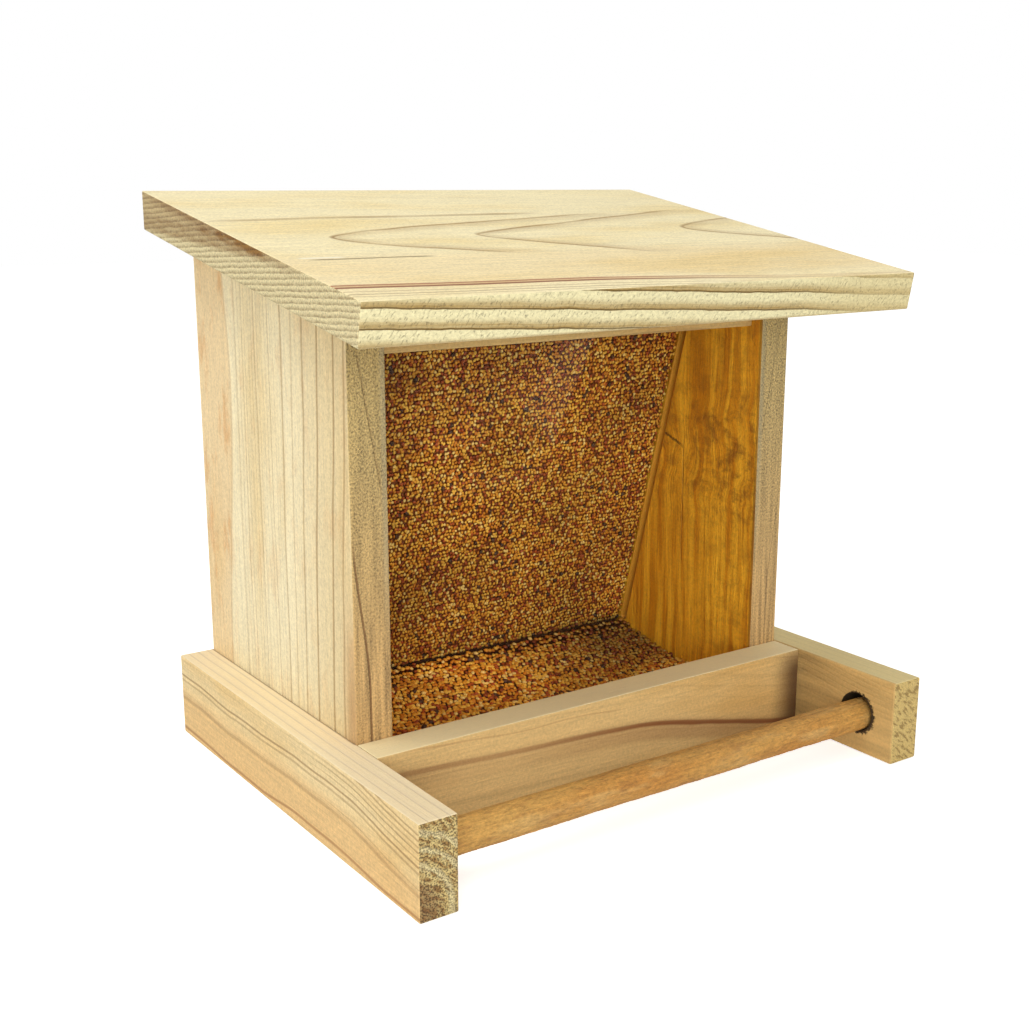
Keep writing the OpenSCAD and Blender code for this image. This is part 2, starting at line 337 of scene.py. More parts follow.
def roof_ends(t, colour, height, fall, deep):
    """Slanting layers on the two ends, with a brown stain across them and painted shade along their top.
    Returns colour and relief.
    """
    thick, slope = 1.6, 0.23
    end = square_on(t.nx)
    slanted = (fall * slope + deep) * (1 / thick) + t.noise(fall * 0.15, deep * 0.3, 2.0) * 0.5
    broken = t.noise(fall * 0.7, deep * 0.9, 6.0, detail=2)
    layers = t.math("FRACT", slanted).step(0.2, 0.9) * (broken * 1.3 - 0.15)
    colour, height = end_grain(t, colour, height, t.nx, layers, "e9d9a6", "8a6c3a")
    band = deep + fall * 0.105 - 10
    patchy = t.noise(fall * 0.15, deep * 0.5, 7.0, detail=3) * 1.2 + 0.1
    across = within(band, -2.0, 1.0, 2.0) * fall.step(100, 80)
    # Painted shade: the top few millimetres of the ends are darkened with the stain's brown
    above = deep.step(3.5, 0.5) * within(fall, 20, 95, 25)
    colour = t.mix(end * (across + above) * patchy * 0.8, colour, linear("a8803e"), "MULTIPLY")
    colour = t.mix(end * band.step(-1, -4) * 0.5, colour, linear("c4a478"), "MULTIPLY")
    return colour, height


def roof_wood():
    """The roof board; fall is the way down its slope and deep the way into its thickness."""
    t = Tree("roof_wood")
    back, down = roof_high.y - t.y, roof_high.z - t.z
    fall = back * math.cos(roof_fall) + down * math.sin(roof_fall)
    deep = down * math.cos(roof_fall) - back * math.sin(roof_fall)
    colour, rough, height = roof_top(t, fall, deep)
    colour, height = roof_ends(t, colour, height, fall, deep)
    front = t.ny.step(-0.6, -0.9)
    edge, relief = roof_front_edge(t, deep)
    colour = t.mix(front, colour, edge)
    return t.finish(colour, rough, height * (1 - front) + relief * front)


def wall_front_edge(t, x, side):
    """Rough sawn front edge of a side wall; two leaning cracks are dark on the left one."""
    grit = t.noise(t.x * 1.7, t.z * 1.5, side, detail=1, rough=0.6)
    vein = t.noise(t.x * 0.7, t.z * 0.03, side + 2, detail=3)
    inward = wall_high.x - x
    colour = t.mix(t.z.step(150, 20), linear("b49d65"), linear("c29c64"))
    smooth = t.z.step(110, 50)
    colour = t.times(colour, grit * (2.2 - smooth) + vein * (smooth + 0.8) - 0.55)
    low = stroke(inward - 0.5 - t.z.step(92, 42) * 4.6, 0.45) * t.z.step(92, 80)
    high = stroke(inward - 3 - (143 - t.z) * 0.175, 0.45) * within(t.z, 106, 140, 6)
    if side < 0:
        colour = t.mix(t.math("MAXIMUM", low * 0.7, high * 0.25), colour, linear("6a4018"))
    dull = (x - wall_low.x).step(2.4, 1.0) * t.z.step(50, 90)
    colour = t.mix(dull * 0.4, colour, linear("9c9478"))
    return colour, grit * (2.0 - smooth) - low - high


def amber_face(t, side):
    """Inner face of a side wall: gold with wavy streaks, mottled brown half way up, and a short split."""
    knot = within(t.z, 84, 104, 22)
    swirl = (t.noise(t.z * 0.05, t.y * 0.04, side + 1) - 0.5) * 14 * knot
    y = t.y + swirl + (t.noise(t.z * 0.02, t.y * 0.05, side + 8) - 0.5) * 6
    streak = t.noise(t.z * 0.012, y * 0.3, side, detail=4, rough=0.65)
    fine = t.noise(t.z * 0.05, y * 1.3, side, detail=2, rough=0.6)
    grit = t.noise(t.z * 0.9, t.y * 1.1, side, detail=2, rough=0.7)
    colour = t.mix(streak.step(0.36, 0.66), linear("c68008"), linear("f2b62a"))
    # Painted light: the face is darker half way up and lighter above and below, evening out the shade on its
    # top and bottom
    colour = t.times(colour, fine * 0.8 + grit * 0.7 + 0.42 - within(t.z, 70, 115, 35) * 0.1)
    mottle = t.noise(t.z * 0.14, y * 0.12, side + 3, detail=5, rough=0.7)
    brown = mottle.step(0.42, 0.66) * (knot * 0.45 + t.y.step(22, -20) * 0.3 + 0.1)
    colour = t.mix(brown, colour, linear("85500c"))
    # The split starts at the panel, runs forward and goes on as a crack along the grain
    teeth = t.noise(t.y * 0.5, 2.0, 0.0) * 3 + t.noise(t.y * 1.6, 7.0, 0.0) * 1.2
    split = stroke(t.z - t.y * 0.35 - 92 + teeth, 0.7) * t.y.step(9, 15)
    crack = stroke(t.y - 12 + t.noise(t.z * 0.05, 5.0, 0.0) * 3, 0.35) * within(t.z, 55, 92, 8)
    dark = t.math("MAXIMUM", split * 0.7, crack * 0.35)
    return t.mix(dark, colour, linear("3a2008")), fine + grit - dark * 2


# Strong year lines of the side walls: the way from the back edge at the top, and how dark
WALL_LINES = [(30.5, 0.4), (64, 0.8), (71, 0.5), (79, 0.8), (88, 1.0), (98, 1.0), (104.4, 0.8)]


def wall_lines(t, rear, side):
    """Fine year lines in the middle of a wall, strong ones that lean back on their way down in front."""
    wave = (t.noise(t.z * 0.015, rear * 0.05, side) - 0.5) * 3
    lean = rear + t.z.step(172, 20) * rear.step(52, 82) * 6.5 + wave
    uneven = t.noise(rear * 0.3, 3.0, side + 5) * 1.2
    line = year_lines(t, lean * 0.4 + uneven + 40, 0.42, 0.5, 1.4, 0.3) * within(lean, 33, 60, 4) * 0.8
    for place, share in WALL_LINES:
        line = t.math("MAXIMUM", line, stroke(lean - place, 0.75) * share)
    return line


def wall_wood(side):
    """Side walls, pale outside and amber inside; side is 1 on the right and -1 on the left."""
    t = Tree("wall_wood_right" if side > 0 else "wall_wood_left")
    x = t.x * side
    rear = wall_high.y - t.y
    line = wall_lines(t, rear, side)
    colour, rough, height = bare_wood(t, t.z, t.y, x, line * 0.6, "f1e2b8", "9a7238", "f3e4c6", side)
    colour, height = end_grain(t, colour, height, t.nz, line, "c9b27c", "8a6a3a")
    border = rear - 17.5 - t.z.step(28, 125) * 8.3 + t.z.step(125, 165) * 3.3
    band = border.step(1.5, -1.5)
    stain = t.noise(t.z * 0.05, rear * 0.12, side + 4, detail=4, rough=0.6)
    colour = t.mix(band * 0.7, colour, linear("f6e2cc"), "MULTIPLY")
    colour = t.mix(stain.step(0.5, 0.7) * (band * 0.4 + 0.25), colour, linear("ecc8a4"), "MULTIPLY")
    colour = t.mix(stroke(border, 0.9) * 0.3, colour, linear("b9905a"))
    colour = t.mix(rear.step(60, 100) * 0.6, colour, linear("e4d4b6"), "MULTIPLY")
    colour = t.mix(rear.step(96, 103) * t.z.step(85, 35) * 0.5, colour, linear("c08a52"), "MULTIPLY")
    inner = (x - wall_low.x).step(0.6, 0.2)
    amber, grain = amber_face(t, side)
    colour = t.mix(inner, colour, amber)
    # Painted shade: a dark strip on the inner face along its front corner
    painted_brink_shade = inner * t.y.step(wall_low.y + 1.6, wall_low.y + 0.6)
    colour = t.mix(painted_brink_shade * 0.6, colour, linear("5a3810"))
    across = (t.y - panel_foot.y) * math.cos(panel_lean) + (t.z - panel_foot.z) * math.sin(panel_lean)
    # Painted light: the kerf that holds the panel is coloured light amber, so that it reads like the wall
    # through the panel although it lies in shade
    kerf_painted_light = within(across, -0.6, panel_thick + 0.6, 0.2) * (wall_high.x - x).step(4.0, 5.0)
    colour = t.mix(kerf_painted_light, colour, linear("e6a030"))
    front = t.ny.step(-0.5, -0.9) * (1 - kerf_painted_light)
    sawn, relief = wall_front_edge(t, x, side)
    colour = t.mix(front, colour, sawn)
    height = height * (1 - inner) + grain * inner
    return t.finish(colour, rough, height * (1 - front) + relief * front)


def rail_end(t, x, side):
    """Torn end grain of a rail, with pale rings about a brown heart on the left one."""
    inward = rail_high.x - x
    slant = t.noise(t.x * 0.62 + t.z * 0.78, (t.x * 0.78 - t.z * 0.62) * 0.35, side, detail=2)
    grit = t.noise(t.x * 1.9, t.z * 1.9, side, detail=1)
    if side > 0:
        colour = t.mix(slant.step(0.53, 0.36) * 0.65, linear("cfb26c"), linear("76561f"))
        return t.times(colour, grit * 0.8 + 0.6), slant * 2.0 + grit
    ring = ((inward + 4) * (inward + 4) + (t.z - 3) * (t.z - 3)) ** 0.5 + (slant - 0.5) * 3
    pale = stroke(ring - 14, 1.4) + stroke(ring - 18.5, 1.0) + stroke(ring - 23, 1.2)
    colour = t.mix(slant.step(0.34, 0.62), linear("8e6c36"), linear("c8b072"))
    colour = t.mix(ring.step(12.5, 8) * 0.6, colour, linear("6d4420"))
    pits = grit.step(0.45, 0.36)
    colour = t.mix(pits * 0.45, colour, linear("4e3614"))
    colour = t.mix(pale * 0.5, colour, linear("dfd2a0"))
    return t.times(colour, grit * 1.4 + 0.32), slant * 1.5 + pale - pits * 2.0


# Year lines on the rails' sides: the height at the back end, the width, how dark, and whether only in front
RAIL_LINES = [(21.5, 0.55, 0.6, False), (19.7, 0.6, 0.4, False), (13.4, 1.0, 0.35, False),
              (15.2, 0.4, 0.3, True), (23.6, 0.4, 0.4, True), (25.6, 0.4, 0.5, True),
              (27.2, 0.4, 0.4, True), (29.0, 0.5, 0.5, True), (30.6, 0.4, 0.5, True)]


def rail_lines(t, x, ahead, lift, side):
    """Year lines on a rail's sides, which follow lift, and straight ones along its top."""
    beside = year_lines(t, lift * 0.5 + t.noise(lift * 0.3, 6.0, side) + 30, 0.5, 0.4, 1.2, 0.0) * 0.2
    for place, width, share, only_in_front in RAIL_LINES:
        shown = ahead.step(85, 125) * 0.85 + 0.15 if only_in_front else 1.0
        beside = t.math("MAXIMUM", beside, stroke(lift - place, width) * share * shown)
    sway = t.noise(t.y * 0.012, t.z * 0.05, side) - 0.5
    clear = 1.0 if side < 0 else 0.3
    along = year_lines(t, x * 0.3 + sway * 0.8 + 60, 0.44, 0.5, 1.6, 0.4) * clear
    top = square_on(t.nz)
    return beside * (1 - top) + along * top


def socket_rim_shade(t, x, side):
    """1 in the perch's socket and on its torn rim, which is worse towards the front; used as painted shade.
    """
    up, out = t.z - socket_z, t.y - socket_y
    tear = t.noise(t.y * 0.9, t.z * 0.9, side + 1, detail=3, rough=0.7)
    reach = (up * up + out * out) ** 0.5 - socket_r
    painted_rim_shade = (reach + out * 0.12 + tear * 3.6 - 2.1).step(0.5, 0.0)
    return t.math("MAXIMUM", painted_rim_shade, reach.step(0.3, 0.1)) * (x - rail_high.x).step(-2.0, -3.0)


def rail_wood(side):
    """Base rails; side is 1 on the right and -1 on the left."""
    t = Tree("rail_wood_right" if side > 0 else "rail_wood_left")
    x = t.x * side
    ahead = rail_high.y - t.y
    outer, front, top = square_on(t.nx), square_on(t.ny), square_on(t.nz)
    # The lines wave and bend down towards the front end
    wave = (t.noise(t.y * 0.03, 4.0, side) - 0.5) * 2
    rise = ahead.step(0, 45) - within(ahead, 90, 112, 35) * 0.8 + ahead.step(112, 172) * 5 + wave
    lift = t.z + rise
    line = rail_lines(t, x, ahead, lift, side)
    tones = ("e9d09a", "84592a") if side < 0 else ("d9bf88", "8f6e3c")
    colour, rough, height = bare_wood(t, t.y, t.z, x, line, *tones, "f3e0ba", 4 + side)
    colour = t.mix(outer * lift.step(20, 12) * 0.6, colour, linear("f3d8b4"), "MULTIPLY")
    sag = ahead.step(0, 45) * 0.8 - within(ahead, 90, 112, 30) * 1.8 + wave * 0.5
    colour = t.mix(outer * stroke(t.z - 2.2 + sag, 0.7) * 0.65, colour, linear("9c6430"))
    colour = t.mix(top * 0.65, colour, linear("f8e8c4" if side < 0 else "eedd9e"))
    # Painted shade: a dark line along the top's inner edge where it meets the wall
    painted_joint_shade = top * (x - rail_low.x).step(1.0, 0.3) * t.y.step(wall_low.y - 0.5, wall_low.y + 0.5)
    colour = t.mix(painted_joint_shade * 0.7, colour, linear("5f401c"))
    # The right rail's inner face is plain, with a few soft streaks, and painted shade that darkens it towards
    # the lip
    if side > 0:
        inner = (x - rail_low.x).step(0.8, 0.3)
        soft = t.noise(t.y * 0.02, t.z * 0.3, 2.0, detail=4, rough=0.6)
        speck = t.noise(t.x * 1.2, t.y * 1.2, t.z * 1.2, detail=3, rough=0.7)
        # Painted shade: the face is darker towards the lip and lighter towards the front end
        streaks_and_painted_shade = soft * 0.9 + speck * 0.5 + 0.1 + t.y.step(-42, -64) * 0.22
        colour = t.mix(inner, colour, t.times(linear("d2ad6c"), streaks_and_painted_shade))
    torn, relief = rail_end(t, x, side)
    colour = t.mix(front, colour, torn)
    painted_rim_shade = socket_rim_shade(t, x, side)
    # Painted shade: the socket and its torn rim are painted near black for the shade in the hole around the
    # perch; the tearing itself is real
    colour = t.mix(painted_rim_shade * 0.95, colour, linear("1e1106"))
    return t.finish(colour, rough, (height * (1 - front) + relief * front) * (1 - painted_rim_shade))


def lip_wood():
    """The tray's lip, with a brown line that falls to the right and a dark right end."""
    t = Tree("lip_wood")
    sway = t.noise(t.x * 0.02, t.z * 0.1, 9) - 0.5
    lift = t.z + (t.x - lip_low.x) * 0.05 + t.x.step(5, 95) * 11 + sway * 2
    uneven = t.noise(lift * 0.15, 2.0, 4.0) * 1.5
    line = year_lines(t, lift * 0.2 + t.y * 0.05 + uneven + 30.4, 0.22, 0.8, 3.0, 0.0)
    colour, rough, height = bare_wood(t, t.x, t.z, t.y, line * 0.22, "dcb878", "7d5628", "f0dcae", 9)
    colour, height = end_grain(t, colour, height, t.nx, line, "c9b27c", "8a6a3a")
    front = t.ny.step(-0.5, -0.9)
    right = t.x.step(-50, 30)
    brown = stroke(lift - 21, 1.3) * (right * 0.2 + 0.45)
    below = within(lift, 16.5, 20.6, 3.0) * (right * 0.3 + 0.2)
    colour = t.mix(front * (brown + below) * 0.85, colour, linear("80481a"))
    scratch = stroke(lift - 27.5 + sway * 3, 0.4) * within(t.x, -70, 0, 10)
    colour = t.mix(front * scratch * 0.4, colour, linear("b0804c"))
    # Darker towards the right end, beside the right rail
    darker_right_end = t.x.step(lip_high.x - 14, lip_high.x - 1) * t.z.step(34, 20)
    colour = t.mix(front * darker_right_end * 0.9, colour, linear("4a2a10"))
    colour = t.mix(t.nz.step(0.5, 0.9) * 0.75, colour, linear("f6e8ba"))
    return t.finish(colour, rough, height)


def plain_board(name, along, across, pale, late, seed):
    """Boards that show little; along and across name the ways of the fibres and of the width."""
    t = Tree(name)
    ways = {"x": (t.x, t.nx), "y": (t.y, t.ny), "z": (t.z, t.nz)}
    grain, facing = ways.pop(along)
    width, _ = ways.pop(across)
    [(thick, _)] = ways.values()
    sway = t.noise(grain * 0.006, width * 0.02, seed) - 0.5
    line = year_lines(t, width * 0.19 + thick * 0.1 + sway * 2.5 + 40, 0.19)
    colour, rough, height = bare_wood(t, grain, width, thick, line * 0.8, pale, late, "f2d6ac", seed)
    colour, height = end_grain(t, colour, height, facing, line, "c9b27c", "8a6a3a")
    return t.finish(colour, rough, height)


def perch_wood():
    """The perch, with bare and darker stretches and a fuzzy skin."""
    t = Tree("perch_wood")
    year = (t.z - perch_z) * 0.35 + (t.y - perch_y) * 0.2 + t.noise(t.x * 0.01, t.z * 0.1, 15) * 2 + 40
    line = year_lines(t, year, 0.4)
    colour, rough, height = bare_wood(t, t.x, t.z, t.y, line * 0.4, "d6a454", "8e5d2a", "f0cc92", 15)
    fuzz = t.noise(t.x * 0.45, t.y * 1.4, t.z * 1.4, detail=3, rough=0.7)
    bare = t.noise(t.x * 0.05, t.y * 0.2, t.z * 0.2, detail=3)
    colour = t.mix(bare.step(0.5, 0.7) * 0.45, colour, linear("dcb672"))
    dark = t.noise(t.x * 0.07, t.y * 0.3, t.z * 0.3 + 4, detail=4, rough=0.7)
    colour = t.mix(dark.step(0.5, 0.68) * 0.5, colour, linear("a06c34"))
    colour = t.times(colour, fuzz * 1.2 + 0.36)
    colour, height = end_grain(t, colour, height, t.nx, line, "b08a50", "6e4a24")
    return t.finish(colour, rough, height + fuzz * 2, 0.4)


def clear_acrylic():
    """A clear sheet: lets light through straight, shines a little, with some dust and painted shade along its
    sawn foot.
    """
    t = Tree("clear_acrylic")
    dust = t.noise(t.x * 0.4, t.y * 0.4, t.z * 0.4, detail=4, rough=0.7).step(0.55, 0.9)
    clear = t.nodes.new("ShaderNodeBsdfTransparent")
    clear.inputs["Color"].default_value = (0.97, 0.98, 0.97, 1)
    gloss = t.nodes.new("ShaderNodeBsdfGlossy")
    t.put(dust * 0.2 + 0.04, gloss.inputs["Roughness"])
    edge = t.nodes.new("ShaderNodeFresnel")
    edge.inputs["IOR"].default_value = 1.49
    sheet = t.nodes.new("ShaderNodeMixShader")
    t.put(Num(t, edge.outputs[0]) * 0.03, sheet.inputs[0])
    t.put(clear.outputs[0], sheet.inputs[1])
    t.put(gloss.outputs[0], sheet.inputs[2])
    haze = t.nodes.new("ShaderNodeMixShader")
    # Painted shade: a dark band along the sheet's foot, where it meets the seed
    painted_foot_shade = t.z.step(panel_foot.z + 1.1, panel_foot.z + 0.6)
    t.put(dust * 0.05 + painted_foot_shade * 0.12, haze.inputs[0])
    t.put(sheet.outputs[0], haze.inputs[1])
    t.put(t.mix(painted_foot_shade, linear("e6e2d6"), linear("4a2810")), t.shader.inputs["Base Color"])
    t.put(0.05, t.shader.inputs["Specular IOR Level"])
    t.put(t.shader.outputs[0], haze.inputs[2])
    t.put(haze.outputs[0], t.nodes["Material Output"].inputs["Surface"])
    return t.material


def plated_steel():
    """Hinges, screws and nails."""
    t = Tree("plated_steel")
    cloud = t.noise(t.x * 0.5, t.y * 0.5, t.z * 0.5, detail=4)
    brushed = t.noise(t.x * 0.6, t.y * 9.0, t.z * 9.0, detail=3)
    colour = t.mix(cloud.step(0.35, 0.65), linear("c9c8c0"), linear("aeb0ae"))
    t.put(1.0, t.shader.inputs["Metallic"])
    return t.finish(colour, cloud * 0.2 + brushed * 0.15 + 0.2, brushed, 0.05)


# Grain colours, and where each starts on the grains' own chance value
SEED_TONES = [(0.0, "d6942a"), (0.28, "e8b444"), (0.52, "c67818"), (0.7, "aa501a"), (0.82, "ecc870"),
              (0.9, "8a4012"), (0.98, "4c2e1a")]


def seed_skin():
    """Grain colours picked by each grain's own chance value, reddish rims darkened as painted shade towards
    the gaps, lighter and darker drifts.
    """
    t = Tree("seed")
    own, crest = [t.nodes.new("ShaderNodeAttribute") for _ in range(2)]
    own.attribute_name = "tone"
    crest.attribute_name = "crest"
    ramp = t.nodes.new("ShaderNodeValToRGB")
    ramp.color_ramp.interpolation = "CONSTANT"
    stops = ramp.color_ramp.elements
    while len(stops) < len(SEED_TONES):
        stops.new(1.0)
    for stop, (start, code) in zip(stops, SEED_TONES):
        stop.position = start
        stop.color = [*linear(code), 1]
    t.put(own.outputs["Fac"], ramp.inputs["Fac"])
    drift = t.noise(t.x * 0.03, t.y * 0.05, t.z * 0.04, detail=3)
    speck = t.noise(t.x * 1.6, t.y * 1.6, t.z * 1.6, detail=2)
    tray = t.z.step(fill_tray[2][1] + 4, fill_tray[2][1])
    # Painted shade: each grain is darker and redder on the sides that face into the gaps
    painted_rim_shade = Num(t, crest.outputs["Fac"]).step(0.8 - tray * 0.3, tray * -0.45)
    colour = t.mix(painted_rim_shade, ramp.outputs["Color"], linear("8a4818"), "MULTIPLY")
    colour = t.times(colour, drift * 1.4 + speck * 0.5 + 0.22)
    # Painted shade: the tray is darkest in its right back corner
    painted_corner_shade = t.x.step(-20, 70) * t.y.step(-30, fill_tray[2][0] - 10)
    colour = t.times(colour, 1 + tray * (0.12 - painted_corner_shade * 0.8))
    return t.finish(colour, speck * 0.2 + 0.45, speck, 0.1)


def seed_gaps_painted_shade():
    """Seed deeper down, between the grains, painted dark as the shade between them; darkest on the tray."""
    t = Tree("seed_gaps_painted_shade")
    speck = t.noise(t.x * 0.6, t.y * 0.6, t.z * 0.6, detail=3)
    colour = t.mix(speck, linear("6a3410"), linear("a05c20"))
    tray = t.z.step(fill_tray[2][1] + 4, fill_tray[2][1])
    # Painted shade: much darker on the tray, where the gaps between the coarser grains are deep
    return t.finish(t.times(colour, 1 - tray * 0.7), 0.8, speck, 0.8)


def put_on(piece, material):
    piece.data.materials.clear()
    piece.data.materials.append(material)


def new_piece(name, points, faces, material, body):
    """A smooth mesh piece from points in millimetres, in one material, that rides on a body."""
    mesh = bpy.data.meshes.new(name)
    mesh.from_pydata((np.asarray(points) / MM).tolist(), [], faces)
    mesh.shade_smooth()
    piece = bpy.data.objects.new(name, mesh)
    scene.collection.objects.link(piece)
    put_on(piece, material)
    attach(piece, body)
    return piece


# Loose seed: half sizes of a grain, the way from grain to grain, and the share by which the tray's are larger
rng = np.random.default_rng(11)
GRAIN = np.array([0.64, 0.9, 0.62])
PITCH = 1.2
TRAY_COARSE = 1.2
# Chance value from which grains are the rare large ones, the depth of the core, and of the beds' waves
LARGE_FROM = 0.98
CORE_DEPTH = 1.25
TRAY_WAVE = 0.15
TOP_WAVE = 0.4
# Way from the panel's foot to the tray's grains, and how high they are heaped there
FOOT_GAP = 1.2
FOOT_HEAP = 2.6
golden = (1 + 5 ** 0.5) / 2
corners = [(0, 1, golden), (0, -1, golden), (0, 1, -golden), (0, -1, -golden)]
BALL = np.array([np.roll(c, k) for k in range(3) for c in corners]) / math.hypot(1, golden)


def ball_faces():
    """Corners of the 20 triangles of the ball, each wound to face outwards."""
    edge = min(np.linalg.norm(BALL[0] - p) for p in BALL[1:]) * 1.01
    near = [[np.linalg.norm(a - b) < edge for b in BALL] for a in BALL]
    found = []
    for a, b, c in itertools.combinations(range(len(BALL)), 3):
        if near[a][b] and near[b][c] and near[a][c]:
            outward = np.dot(np.cross(BALL[b] - BALL[a], BALL[c] - BALL[a]), BALL[a]) > 0
            found.append((a, b, c) if outward else (a, c, b))
    return np.array(found)


BALL_FACES = ball_faces()


def random_turns(count):
    """Evenly spread rotation matrices."""
    q = rng.normal(size=(count, 4))
    w, x, y, z = (q / np.linalg.norm(q, axis=1, keepdims=True)).T
    rows = [[1 - 2 * (y * y + z * z), 2 * (x * y - w * z), 2 * (x * z + w * y)],
            [2 * (x * y + w * z), 1 - 2 * (x * x + z * z), 2 * (y * z - w * x)],
            [2 * (x * z - w * y), 2 * (y * z + w * x), 1 - 2 * (x * x + y * y)]]
    return np.array(rows).transpose(2, 0, 1)


def grid(width, length, pitch):
    """Loosely packed places in staggered rows, width centred on 0 and length from 0."""
    rows = int(length / (pitch * 1.08))
    columns = int(width / pitch)
    u = (np.arange(columns) - columns / 2 + 0.25)[None, :] + (np.arange(rows) % 2)[:, None] * 0.5
    v = (np.arange(rows) + 0.5)[:, None] + np.zeros(columns)[None, :]
    places = np.stack([u.ravel() * pitch, v.ravel() * length / rows], axis=1)
    return places + rng.uniform(-0.3, 0.3, places.shape) * pitch


def seed_bed(name, start, end, wave=0.0, coarse=1.0, heap=0.0):
    """A layer of grains just under the slope between two (y, z) points, heaped at its start."""
    start, end = np.array(start), np.array(end)
    run = np.linalg.norm(end - start)
    along = (end - start) / run
    inward = np.array([-along[1], along[0]])
    places = grid(fill_high.x - fill_low.x - 0.8, run, PITCH * coarse)
    count = len(places)
    sunk = (0.64 + rng.uniform(0, 0.4, count)) * coarse
    sunk += wave * (1 + np.sin(places[:, 0] * 0.11 + 1.0) * np.cos(places[:, 1] * 0.17))
    sunk -= heap * np.exp(-(places[:, 1] / 2.5) ** 2) * rng.uniform(0.2, 1.0, count)
    tone = rng.random(count)
    size = rng.uniform(0.84, 1.14, count) * np.where(tone > LARGE_FROM, 1.35, 1.0) * coarse
    # Each grain: a ball turned by chance, stretched, then laid at an angle to the slope
    ball = np.einsum("nij,kj->nki", random_turns(count), BALL)
    wide, long, tall = np.moveaxis(ball * GRAIN * size[:, None, None], 2, 0)
    angle = rng.normal(0, 0.7, count)[:, None]
    across = places[:, :1] + wide * np.cos(angle) - long * np.sin(angle)
    down = places[:, 1:] + wide * np.sin(angle) + long * np.cos(angle)
    slope = start + down[..., None] * along + (tall + sunk[:, None])[..., None] * inward
    points = np.concatenate([across[..., None], slope], axis=2)
    faces = (BALL_FACES[None] + len(BALL) * np.arange(count)[:, None, None]).reshape(-1, 3)
    bed = new_piece(name, points.reshape(-1, 3), faces.tolist(), grain_skin, "body")
    for label, values in (("tone", np.repeat(tone, len(BALL))), ("crest", -ball[:, :, 2].ravel())):
        bed.data.attributes.new(label, "FLOAT", "POINT").data.foreach_set("value", values)
    # One square of the baked picture for each grain
    side = math.ceil(count ** 0.5)
    cell = np.stack([np.arange(count) % side, np.arange(count) // side], axis=1)
    spread = (cell[:, None, :] + 0.5 + BALL[None, :, :2] * 0.4) / side
    layer = bed.data.uv_layers.new(name="OFBake")
    layer.data.foreach_set("uv", spread.reshape(-1, 2)[faces.ravel()].ravel())
    return bed


def inset(outline, depth):
    """A counter-clockwise outline moved inwards."""
    made = []
    for before, point, after in zip(outline[-1:] + outline[:-1], outline, outline[1:] + outline[:1]):
        ways = [np.subtract(point, before), np.subtract(after, point)]
        inward = [np.array([-w[1], w[0]]) / np.linalg.norm(w) for w in ways]
        made.append(np.linalg.solve(inward, [np.dot(n, point) + depth for n in inward]))
    return made


def seed_core(outline):
    """The mass under the top layer of grains, painted dark as the shade between them."""
    half = fill_high.x - 1.0
    section = inset(outline, CORE_DEPTH)
    count = len(section)
    points = [(x, *p) for x in (-half, half) for p in section]
    faces = [(i, i + count, (i + 1) % count + count, (i + 1) % count) for i in range(count)]
    ends = [tuple(range(count)), tuple(range(2 * count - 1, count - 1, -1))]
    core = new_piece("seed_core", points, faces + ends, seed_gaps_painted_shade(), "body")
    core.data.shade_flat()
    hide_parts("seed_fill")


def seed_pieces():
    """A bed of grains on each slope of the seed, over the dark core."""
    tray_front, tray_bend, foot_front, foot_rear = fill_tray
    rear = fill_high.y
    outline = [(tray_front[0], fill_low.z), (rear, fill_low.z), (rear, fill_high.z), fill_brow,
               foot_rear, foot_front, tray_bend, tray_front]
    seed_core(outline)
    half_way = tuple((a + b) / 2 for a, b in zip(fill_brow, foot_rear))
    seed_bed("seed_behind_panel_high", fill_brow, half_way)
    seed_bed("seed_behind_panel_low", half_way, foot_rear)
    seed_bed("seed_under_panel", foot_rear, foot_front)
    clear = (foot_front[0] - FOOT_GAP, foot_front[1])
    seed_bed("seed_tray_back", clear, tray_bend, TRAY_WAVE, TRAY_COARSE, FOOT_HEAP)
    seed_bed("seed_tray_front", tray_bend, tray_front, TRAY_WAVE, TRAY_COARSE)
    seed_bed("seed_top", (rear, fill_high.z), fill_brow, TOP_WAVE)


def perch_rod():
    """The rough turned rod, never thicker than its sockets allow."""
    steps, around = 300, 56
    points, faces = [], []
    for i in range(steps + 1):
        x = perch_low.x + (perch_high.x - perch_low.x) * i / steps
        for k in range(around):
            a = 2 * math.pi * k / around
            c, s = math.cos(a), math.sin(a)
            bow = noise.noise((x * 0.03, c * 0.8, s * 0.8)) * 0.22
            flake = noise.noise((x * 0.25, c * 3.0, s * 3.0 + 9)) * 0.12
            fuzz = noise.noise((x * 1.7, c * 9.0, s * 9.0 + 3)) * 0.1
            r = min(perch_r - 0.12 + bow + flake + fuzz, perch_r + 0.1)
            points.append((x, perch_y + r * c, perch_z + r * s))
    for i in range(steps):
        for k in range(around):
            j = (k + 1) % around
            faces.append((i * around + k, i * around + j, (i + 1) * around + j, (i + 1) * around + k))
    faces.append(tuple(range(around - 1, -1, -1)))
    faces.append(tuple(range(steps * around, (steps + 1) * around)))
    rod = new_piece("perch_rod", points, faces, perch_wood(), "perch")
    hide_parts("perch")


# Materials of the CAD nodes; all others are steel
steel = plated_steel()
grain_skin = seed_skin()
hidden = plain_board("back_wood", "z", "x", "e6cb96", "a67b45", 12)
dress = {
    "roof_board": roof_wood(),
    "left_wall": wall_wood(-1),
    "right_wall": wall_wood(1),
    "left_rail": rail_wood(-1),
    "right_rail": rail_wood(1),
    "front_lip": lip_wood(),
    "header_strip": plain_board("header_wood", "x", "z", "c9aa6c", "8f6d3c", 3),
    "back_panel": hidden,
    "floor_board": hidden,
    "seed_panel": clear_acrylic(),
}
EASED = [n for n in dress if n not in ("seed_panel", "back_panel")]
EASE = 0.5


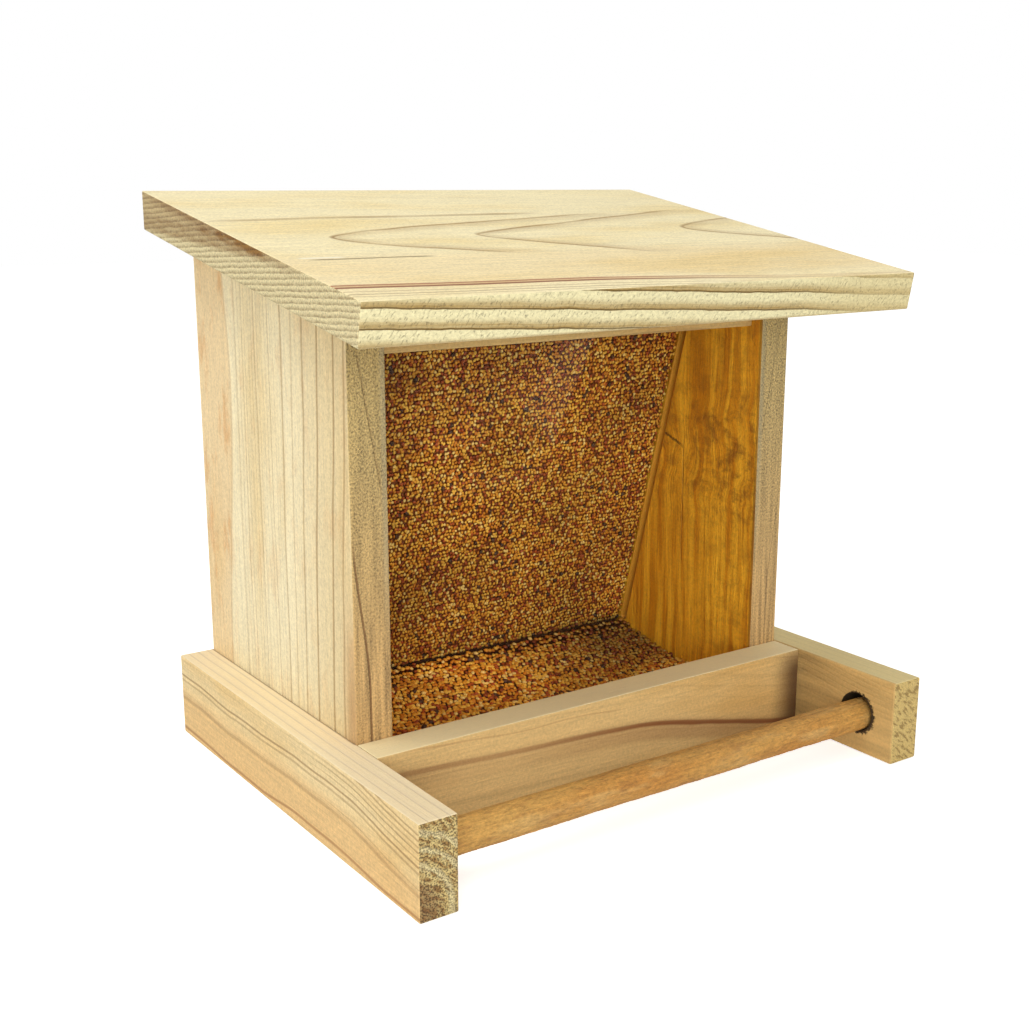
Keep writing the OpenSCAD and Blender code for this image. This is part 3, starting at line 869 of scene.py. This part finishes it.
def ease_edges(node, width):
    """Rounds a board's edges a little."""
    weld = node.modifiers.new("weld", "WELD")
    weld.merge_threshold = 1e-6
    flat = node.modifiers.new("flat", "DECIMATE")
    flat.decimate_type = "DISSOLVE"
    flat.angle_limit = math.radians(1)
    bevel = node.modifiers.new("ease", "BEVEL")
    bevel.width = width / MM
    bevel.segments = 2
    bevel.limit_method = "ANGLE"
    bevel.angle_limit = math.radians(50)
    bevel.use_clamp_overlap = False


def stage_floor():
    """A pale floor that looks white where no shadow falls."""
    mesh = bpy.data.meshes.new("floor")
    half, low = 3.0, -0.0002
    square = [(-half, -half, low), (half, -half, low), (half, half, low), (-half, half, low)]
    mesh.from_pydata(square, [], [(0, 1, 2, 3)])
    floor = bpy.data.objects.new("floor", mesh)
    scene.collection.objects.link(floor)
    material = bpy.data.materials.new("floor")
    material.use_nodes = True
    tree = material.node_tree
    shader = tree.nodes["Principled BSDF"]
    shader.inputs["Base Color"].default_value = (0.9, 0.9, 0.9, 1)
    shader.inputs["Roughness"].default_value = 0.9
    shader.inputs["Emission Color"].default_value = (1, 1, 1, 1)
    path = tree.nodes.new("ShaderNodeLightPath")
    lift = tree.nodes.new("ShaderNodeMath")
    lift.operation = "MULTIPLY"
    lift.inputs[1].default_value = 0.62
    tree.links.new(path.outputs["Is Camera Ray"], lift.inputs[0])
    tree.links.new(lift.outputs[0], shader.inputs["Emission Strength"])
    mesh.materials.append(material)


def stage_world():
    """White to the camera, a plain soft light to everything else."""
    world = bpy.data.worlds.new("studio")
    scene.world = world
    world.use_nodes = True
    tree = world.node_tree
    ground = tree.nodes["Background"]
    path = tree.nodes.new("ShaderNodeLightPath")
    level = tree.nodes.new("ShaderNodeMapRange")
    level.inputs["To Min"].default_value = 0.56
    level.inputs["To Max"].default_value = 1.0
    tree.links.new(path.outputs["Is Camera Ray"], level.inputs["Value"])
    ground.inputs["Color"].default_value = (1, 1, 1, 1)
    tree.links.new(level.outputs["Result"], ground.inputs["Strength"])


def lamp(name, at, size, watts):
    """A round soft lamp that looks at the feeder's middle."""
    data = bpy.data.lights.new(name, "AREA")
    data.shape = "DISK"
    data.size = size
    data.energy = watts
    light = bpy.data.objects.new(name, data)
    light.location = at
    light.rotation_euler = (Vector((0, 0, 0.08)) - Vector(at)).to_track_quat("-Z", "Y").to_euler()
    scene.collection.objects.link(light)


def stage_camera():
    """The photograph's view, fitted to the corners of roof, rails and lip."""
    place = (-0.2613, -0.3644, 0.1859)
    turn, tilt, lens = math.radians(-34.62), math.radians(13.29), 48.87
    level = math.cos(tilt)
    toward = Vector((-math.sin(turn) * level, math.cos(turn) * level, -math.sin(tilt)))
    data = bpy.data.cameras.new("camera")
    data.lens = lens
    data.sensor_width = 36.0
    data.clip_start = 0.01
    camera = bpy.data.objects.new("camera", data)
    camera.location = place
    camera.rotation_euler = toward.to_track_quat("-Z", "Y").to_euler()
    scene.collection.objects.link(camera)
    scene.camera = camera


for name, node in nodes.items():
    put_on(node, dress.get(name, steel))
for name in EASED:
    ease_edges(nodes[name], EASE)
seed_pieces()
perch_rod()
stage_floor()
stage_world()
lamp("key", (-0.6, 0.1, 1.25), 0.7, 5.8)
lamp("fill", (-0.7, -1.15, 0.45), 0.9, 9.5)
stage_camera()
scene.view_settings.view_transform = "Standard"
